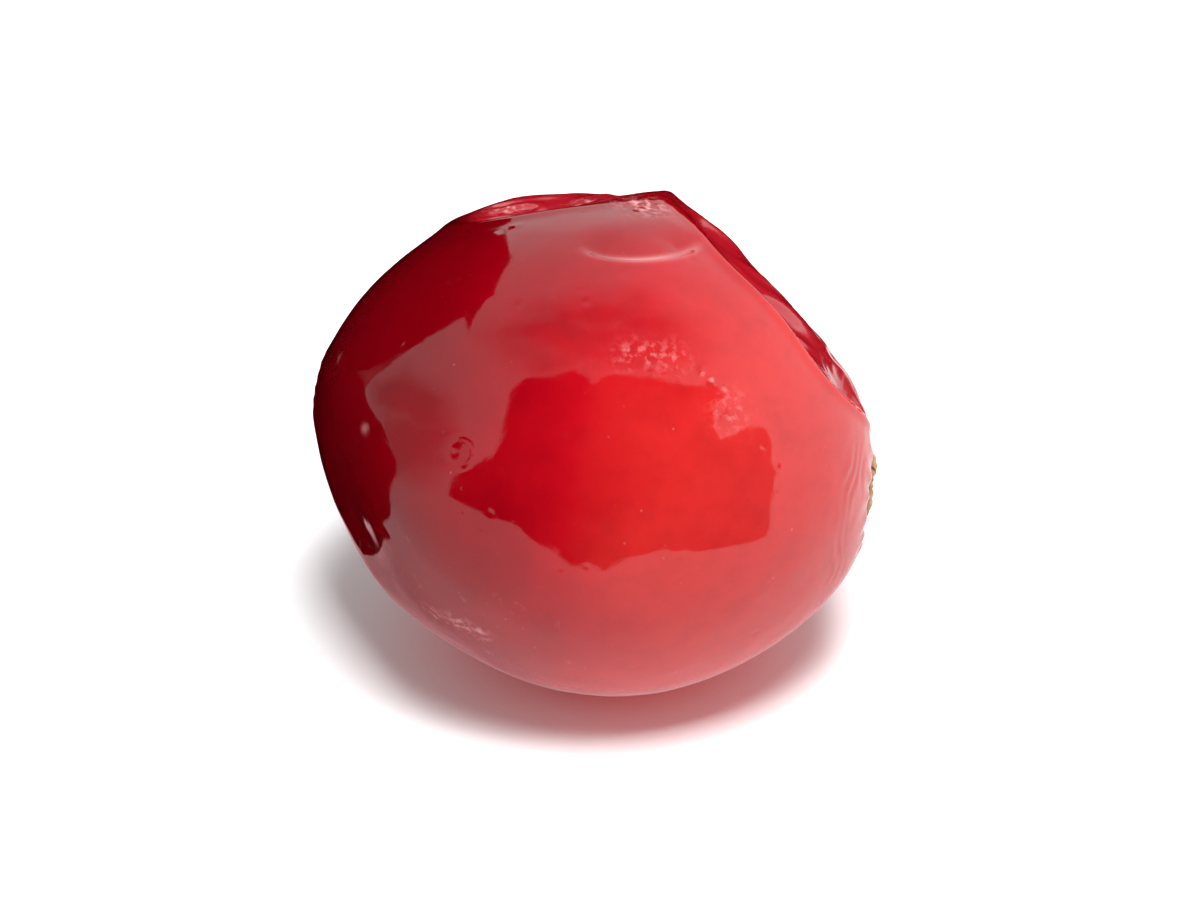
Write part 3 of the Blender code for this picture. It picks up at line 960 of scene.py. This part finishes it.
# Black and grey cards round the berry, as in a studio, seen only as reflections in its gloss. Each has a
# brightness, the share of it that fades out to its rim, and the outline that its reflection fills: (across,
# up) from the berry's middle as the camera sees it, in millimetres. The first ones hang nearest to the berry.
CARD_DISTANCE = 150 * MM
CARD_CLEARANCE = 0.8 * MM
CARD_DISTANCE_STEP = 6 * MM
CARD_CLEARANCE_STEP = 0.1 * MM
CARD_RINGS = 14
CARD_STEPS = 5
STREAK_STRETCH = (0.35, 1.0, 1.0)
STREAKS = ((0.9, 4.0, 0.6), (0.3, 0.7, -0.45, 0.45))
CARDS = (
    ("front_opening", 0.0, 0.0, (
        (-2.2, 2.05), (-0.7, 2.2), (1.3, 2.15), (2.75, 2.05), (3.9, 1.85), (4.3, 1.45), (3.8, 0.9),
        (4.05, 0.1), (4.6, -0.05), (5.0, 0.45), (5.45, 0.05), (5.7, -1.0), (5.5, -1.95), (5.3, -2.85),
        (4.4, -3.2), (3.5, -3.4), (2.35, -3.2), (1.65, -3.4), (0.5, -3.8), (-0.75, -3.6), (-1.8, -3.0),
        (-3.4, -2.2), (-4.5, -1.6), (-4.4, -1.15), (-3.4, -0.5), (-2.75, 0.45), (-2.45, 1.3),
    )),
    ("small_gap", 0.0, 0.0, (
        (-4.25, -0.02), (-4.0, 0.06), (-3.82, -0.04), (-3.84, -0.20), (-4.05, -0.18), (-4.22, -0.28),
    )),
    ("smaller_gap", 0.0, 0.0, (
        (-4.28, -0.42), (-4.12, -0.34), (-3.98, -0.50), (-4.05, -0.70), (-4.22, -0.68),
    )),
    ("left_above", 0.0, 0.0, (
        (-4.3, 6.8), (-3.8, 6.8), (-3.1, 6.78), (-2.84, 6.5), (-2.7, 6.0), (-2.9, 5.45), (-3.25, 5.0),
        (-3.1, 4.8), (-3.45, 4.65), (-3.8, 4.0), (-4.0, 3.65), (-4.3, 4.0), (-5.4, 3.45), (-6.45, 2.85),
        (-7.5, 2.45), (-9.2, 2.3), (-9.0, 3.4), (-7.9, 5.1), (-6.4, 6.6), (-5.0, 7.4),
    )),
    ("left_below", 0.0, 0.0, (
        (-9.2, 2.35), (-7.5, 2.5), (-7.2, 1.65), (-6.85, 0.85), (-6.45, 0.05), (-6.3, -0.5), (-6.4, -1.3),
        (-6.45, -2.2), (-6.65, -2.6), (-6.45, -2.9), (-6.8, -3.35), (-7.1, -3.3), (-7.6, -3.1), (-8.2, -2.4),
        (-8.6, -1.6), (-9.1, -0.3),
    )),
    ("grey_left", 0.45, 0.55, (
        (-7.6, 3.0), (-6.0, 3.1), (-4.6, 2.2), (-3.9, 0.6), (-4.2, -1.2), (-5.4, -1.7), (-6.6, -1.4),
        (-6.9, 0.2), (-7.4, 1.6),
    )),
    ("grey_above", 0.35, 0.5, (
        (-4.2, 3.6), (-2.6, 4.6), (-0.7, 5.2), (1.3, 5.3), (2.8, 4.8), (4.1, 3.6), (4.0, 2.6), (3.2, 2.2),
        (0.6, 1.9), (-2.1, 1.8), (-3.0, 2.5),
    )),
)

# How the point that the camera sees at a place is sought: steps, their share of the gap, and a tilt.
SEEK_STEPS = 40
SEEK_SHARE = 0.7
SEEK_TILT = 0.002 * MM

# Behind the berry and at its left, on the floor and standing up: black cards, which the skin beyond its folds
# and at its left edge reflects.
BLACK_CARDS = (
    ("black_floor", (
        (-22.0, 12.0, 0.1), (5.0, 12.0, 0.1), (9.0, 21.0, 0.1), (18.0, 21.5, 0.1), (30.0, 22.5, 0.1),
        (44.0, 27.0, 0.1), (46.0, 80.0, 0.1), (-30.0, 80.0, 0.1),
    )),
    ("black_wall", (
        (-40.0, 80.0, 0.1), (45.0, 80.0, 0.1), (45.0, 80.0, 26.0), (-9.0, 80.0, 26.0), (-15.0, 80.0, 14.0),
        (-40.0, 80.0, 10.0),
    )),
    ("black_left_floor", (
        (-14.0, 1.0, 0.2), (-10.5, 1.9, 0.2), (-10.0, 5.0, 0.2), (-9.2, 8.6, 0.2), (-7.0, 12.0, 0.2),
        (-80.0, 190.0, 0.2), (-190.0, 62.0, 0.2),
    )),
    ("black_left_wall", (
        (-190.0, 62.0, 0.2), (-80.0, 190.0, 0.2), (-80.0, 190.0, 150.0), (-190.0, 62.0, 150.0),
    )),
)

# The floor as the gloss sees it: dim pink at the berry's foot, a painted shadow with red light from the flesh
# in it, and white further out. Each ring has a half width along Y, a brightness, which grows a little to the
# right so that the painted shadow is deeper at the left, and a share of white.
FLOOR_GLOW = ((3.5, 0.56, 0.0), (5.0, 0.80, 0.2), (6.5, 1.00, 0.55), (9.0, 1.32, 0.80), (210.0, 1.34, 0.95))
FLOOR_GLOW_PINK = (1.0, 0.48, 0.51, 1.0)
FLOOR_GLOW_MIDDLE = (-2.5, 0.3, 0.05)
FLOOR_GLOW_STRETCH = (2.0, 1.0, 0.0)
FLOOR_GLOW_SLOPE = 0.008
FLOOR_GLOW_SLOPE_END = 20.0
FLOOR_GLOW_CORNERS = 48

# The red light that comes through the flesh and falls on the floor: its colour, how far it is outside the
# skin, and its strength at rings round the lowest point, each at a sine of the angle from straight down.
FLESH_LIGHT_COLOUR = (1.0, 0.02, 0.03, 1.0)
FLESH_LIGHT_GAP = 0.06 * MM
FLESH_LIGHT = ((0.10, 0.0), (0.35, 0.22), (0.60, 0.24), (0.75, 0.16), (0.88, 0.0))
FLESH_LIGHT_STEPS = 8
FLESH_LIGHT_CORNERS = 64


def swelled_egg(points):
    """How far each point is outside the egg with its swells and hollows."""
    distance = np.linalg.norm(points, axis=1)
    ways = points / distance[:, None]
    return distance - swelled(egg(ways), ways, SWELLS)


def seen_points(places):
    """The points that the camera sees at places in the picture, and the way that the skin faces there."""
    across, up, back = view_axes()
    core = unit(CORE_LINE)
    stretch = np.eye(3) / HALF_WIDTH**2 + (1.0 / HALF_LENGTH**2 - 1.0 / HALF_WIDTH**2) * np.outer(core, core)
    base = places[:, :1] * across + places[:, 1:] * up
    middle = -(base @ stretch @ back) / (back @ stretch @ back)
    depth = np.full(len(places), HALF_LENGTH)
    for _ in range(SEEK_STEPS):
        gap = swelled_egg(base + depth[:, None] * back)
        depth = np.maximum(depth - SEEK_SHARE * gap, middle)
    points = base + depth[:, None] * back
    tilts = SEEK_TILT * np.eye(3)
    facings = np.stack([swelled_egg(points + tilt) - swelled_egg(points - tilt) for tilt in tilts], axis=1)
    return points, facings / np.linalg.norm(facings, axis=1)[:, None]


def card_points(places, layer):
    """Where rays from the camera that the skin reflects at places in the picture meet a card."""
    points, facings = seen_points(places)
    back = view_axes()[2]
    ways = 2.0 * (facings @ back)[:, None] * facings - back
    starts = points + np.array(CENTRE)
    lengths = np.full(len(places), CARD_DISTANCE + layer * CARD_DISTANCE_STEP)
    down = ways[:, 2] < 0.0
    drop = starts[:, 2] - CARD_CLEARANCE + layer * CARD_CLEARANCE_STEP
    lengths[down] = np.minimum(lengths[down], drop[down] / -ways[down, 2])
    return starts + ways * lengths[:, None]


def glow_material(name, brightness, streaked=False):
    """Light of one brightness. Where streaked, it fades out by the points' cover."""
    nodes = Nodes(bpy.data.materials.new(name))
    glow = nodes.emission(WHITE, brightness)
    if streaked:
        stretched = {0: nodes.attribute("picture", "Vector"), 1: STREAK_STRETCH}
        spread = nodes.add("ShaderNodeVectorMath", stretched, operation="MULTIPLY")
        swing = nodes.patches(spread.outputs["Vector"], *STREAKS)
        faded = nodes.math("MULTIPLY", nodes.attribute("cover"), nodes.math("ADD", swing, 1.0))
        blend = {0: nodes.span(faded, 0.0, 1.0), 1: nodes.clear(), 2: glow}
        glow = nodes.add("ShaderNodeMixShader", blend).outputs["Shader"]
    return nodes.close("Material Output", {"Surface": glow})


def stage_card(name, data, material):
    """A card that only shows in reflections."""
    data.materials.append(material)
    made = added(name, data)
    made.visible_camera = False
    made.visible_diffuse = False
    made.visible_transmission = False
    made.visible_shadow = False
    return made


def card(layer, name, brightness, fade, outline):
    corners = np.array(outline)
    middle = corners.mean(axis=0)
    after = np.roll(corners, -1, axis=0)
    steps = [corners + (after - corners) * k / CARD_STEPS for k in range(CARD_STEPS)]
    rim = np.stack(steps, axis=1).reshape(-1, 2)
    shares = np.arange(1, CARD_RINGS + 1) / CARD_RINGS
    places = np.vstack([middle] + [middle + (rim - middle) * share for share in shares])
    data = bpy.data.meshes.new(name)
    data.from_pydata(card_points(places * MM, layer), [], disc_faces(CARD_RINGS, len(rim)))
    if fade:
        inwards = 1.0 - np.concatenate([[0.0], np.repeat(shares, len(rim))])
        store(data, "cover", np.clip(inwards / fade, 0.0, 1.0))
        picture = data.attributes.new("picture", "FLOAT_VECTOR", "POINT")
        flat = np.column_stack([places, np.zeros(len(places))])
        picture.data.foreach_set("vector", flat.astype(np.float32).ravel())
    stage_card(name, data, glow_material(name, brightness, bool(fade)))


def black_card(name, corners):
    data = bpy.data.meshes.new(name)
    data.from_pydata([Vector(corner) * MM for corner in corners], [], [range(len(corners))])
    stage_card(name, data, glow_material(name, 0.0))


def circle(corners):
    turns = 2.0 * np.pi * np.arange(corners) / corners
    return np.stack([np.cos(turns), np.sin(turns), np.zeros(corners)], axis=1)


def disc_faces(rings, corners):
    """The faces of a disc whose first point is its middle, followed by the points of each ring."""
    faces = []
    for i in range(corners):
        j = (i + 1) % corners
        faces.append((0, 1 + i, 1 + j))
        for k in range(0, (rings - 1) * corners, corners):
            faces.append((1 + k + i, 1 + k + corners + i, 1 + k + corners + j, 1 + k + j))
    return faces


def floor_glow():
    radii, levels, whites = zip(*FLOOR_GLOW)
    points = np.vstack([np.zeros(3)] + [radius * circle(FLOOR_GLOW_CORNERS) for radius in radii])
    points = points * FLOOR_GLOW_STRETCH + FLOOR_GLOW_MIDDLE
    brightness = np.concatenate([levels[:1], np.repeat(levels, FLOOR_GLOW_CORNERS)])
    slope_at = np.clip(points[:, 0], -FLOOR_GLOW_SLOPE_END, FLOOR_GLOW_SLOPE_END)
    data = bpy.data.meshes.new("floor_glow")
    data.from_pydata(points * MM, [], disc_faces(len(radii), FLOOR_GLOW_CORNERS))
    store(data, "brightness", brightness * (1.0 + FLOOR_GLOW_SLOPE * slope_at))
    store(data, "white", np.concatenate([whites[:1], np.repeat(whites, FLOOR_GLOW_CORNERS)]))
    nodes = Nodes(bpy.data.materials.new("floor_glow"))
    colour = nodes.mix(nodes.attribute("white"), FLOOR_GLOW_PINK, WHITE)
    glow = nodes.emission(colour, nodes.attribute("brightness"))
    stage_card("floor_glow", data, nodes.close("Material Output", {"Surface": glow}))


def flesh_light():
    """A shell just outside the underside, which lights the floor and isn't seen itself."""
    places, levels = zip(*FLESH_LIGHT)
    steps = (len(FLESH_LIGHT) - 1) * FLESH_LIGHT_STEPS
    sines = places[0] + (places[-1] - places[0]) * np.arange(steps + 1) / steps
    rings = [sine * circle(FLESH_LIGHT_CORNERS) - (0.0, 0.0, math.sqrt(1.0 - sine**2)) for sine in sines]
    ways = np.vstack([np.array((0.0, 0.0, -1.0))] + rings)
    reach = broad_form(ways)[0] + FLESH_LIGHT_GAP
    data = bpy.data.meshes.new("flesh_light")
    points = settled(ways * reach[:, None]) + np.array(CENTRE)
    data.from_pydata(points, [], disc_faces(len(rings), FLESH_LIGHT_CORNERS))
    brightness = np.interp(sines, places, levels)
    store(data, "brightness", np.concatenate([[0.0], np.repeat(brightness, FLESH_LIGHT_CORNERS)]))
    nodes = Nodes(bpy.data.materials.new("flesh_light"))
    glow = nodes.emission(FLESH_LIGHT_COLOUR, nodes.attribute("brightness"))
    both = nodes.add("ShaderNodeAddShader", {0: glow, 1: nodes.clear()}).outputs["Shader"]
    made = stage_card("flesh_light", data, nodes.close("Material Output", {"Surface": both}))
    made.visible_diffuse = True
    made.visible_glossy = False


def soft_light(name, place, size, power):
    """A square soft box that faces the berry."""
    data = bpy.data.lights.new(name, "AREA")
    data.shape = "SQUARE"
    data.size = size
    data.energy = power
    made = added(name, data)
    made.location = place
    made.rotation_mode = "QUATERNION"
    made.rotation_quaternion = (Vector(place) - CENTRE).to_track_quat("Z", "Y")
    made.visible_glossy = False


def room():
    nodes = Nodes(bpy.data.worlds.new("white_room"))
    way = nodes.add("ShaderNodeTexCoord").outputs["Generated"]
    light = nodes.span(nodes.dot(way, FRONT_WAY), *ROOM_LIGHT_SPAN, smooth=True)
    gloss = nodes.span(nodes.dot(way, RIGHT_WAY), *ROOM_IN_GLOSS_SPAN, smooth=True)
    in_gloss = nodes.add("ShaderNodeLightPath").outputs["Is Glossy Ray"]
    strength = nodes.span(in_gloss, 0.0, 1.0, light, gloss)
    bpy.context.scene.world = nodes.close("Background", {"Color": WHITE, "Strength": strength})


def studio():
    floor()
    for layer, values in enumerate(CARDS):
        card(layer, *values)
    for name, corners in BLACK_CARDS:
        black_card(name, corners)
    floor_glow()
    flesh_light()
    soft_light("key_above", KEY_PLACE, KEY_SIZE, KEY_POWER)
    room()
    bpy.context.scene.view_settings.view_transform = "Standard"


def camera():
    back = Vector(view_axes()[2])
    data = bpy.data.cameras.new("camera")
    data.lens = CAMERA_LENS
    made = added("camera", data)
    made.location = CAMERA_AIM + back * CAMERA_DISTANCE
    made.rotation_mode = "QUATERNION"
    made.rotation_quaternion = back.to_track_quat("Z", "Y")
    bpy.context.scene.camera = made


camera()
skin(skin_material())
calyx(calyx_material())
studio()
